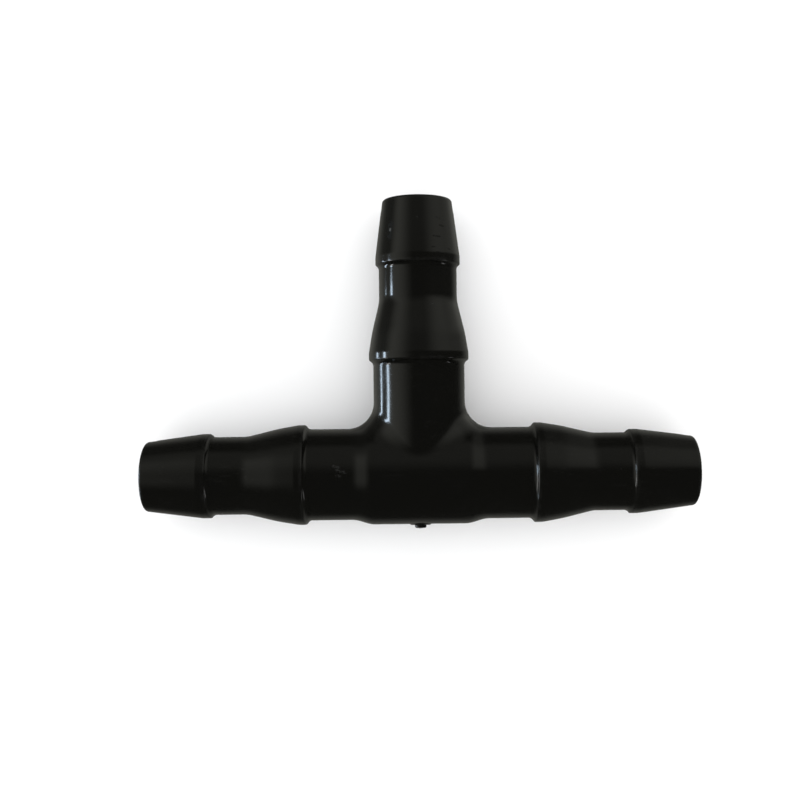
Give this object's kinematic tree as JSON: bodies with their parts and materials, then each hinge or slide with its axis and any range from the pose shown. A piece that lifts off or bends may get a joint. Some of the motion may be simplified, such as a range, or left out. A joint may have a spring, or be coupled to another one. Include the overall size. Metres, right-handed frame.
{
  "type": "barbed tee connector",
  "caption": "Equal barbed tee for small irrigation hose: a run and a square branch, each arm with a small outer barb and a larger inner barb stepped to suit two hose bores.",
  "frame": {"origin": "where the axis of the run and the axis of the branch cross, at the centre of the hub", "axes": "+X along the run towards the right arm, +Y along the branch towards its mouth, +Z square to both, so the tee lies flat on the X-Y plane as it does on a table"},
  "size_m": [0.0574, 0.0344, 0.0104],
  "materials": {
    "black_polyethylene": "black injection-moulded polyethylene, satin to semi-gloss, with light scuffs"
  },
  "bodies": {
    "root": {"hub": "black_polyethylene", "gate_vestige": "black_polyethylene", "right_shank": "black_polyethylene", "right_inner_barb": "black_polyethylene", "right_neck": "black_polyethylene", "right_outer_barb": "black_polyethylene", "branch_shank": "black_polyethylene", "branch_inner_barb": "black_polyethylene", "branch_neck": "black_polyethylene", "branch_outer_barb": "black_polyethylene", "left_shank": "black_polyethylene", "left_inner_barb": "black_polyethylene", "left_neck": "black_polyethylene", "left_outer_barb": "black_polyethylene"}
  },
  "joints": []
}
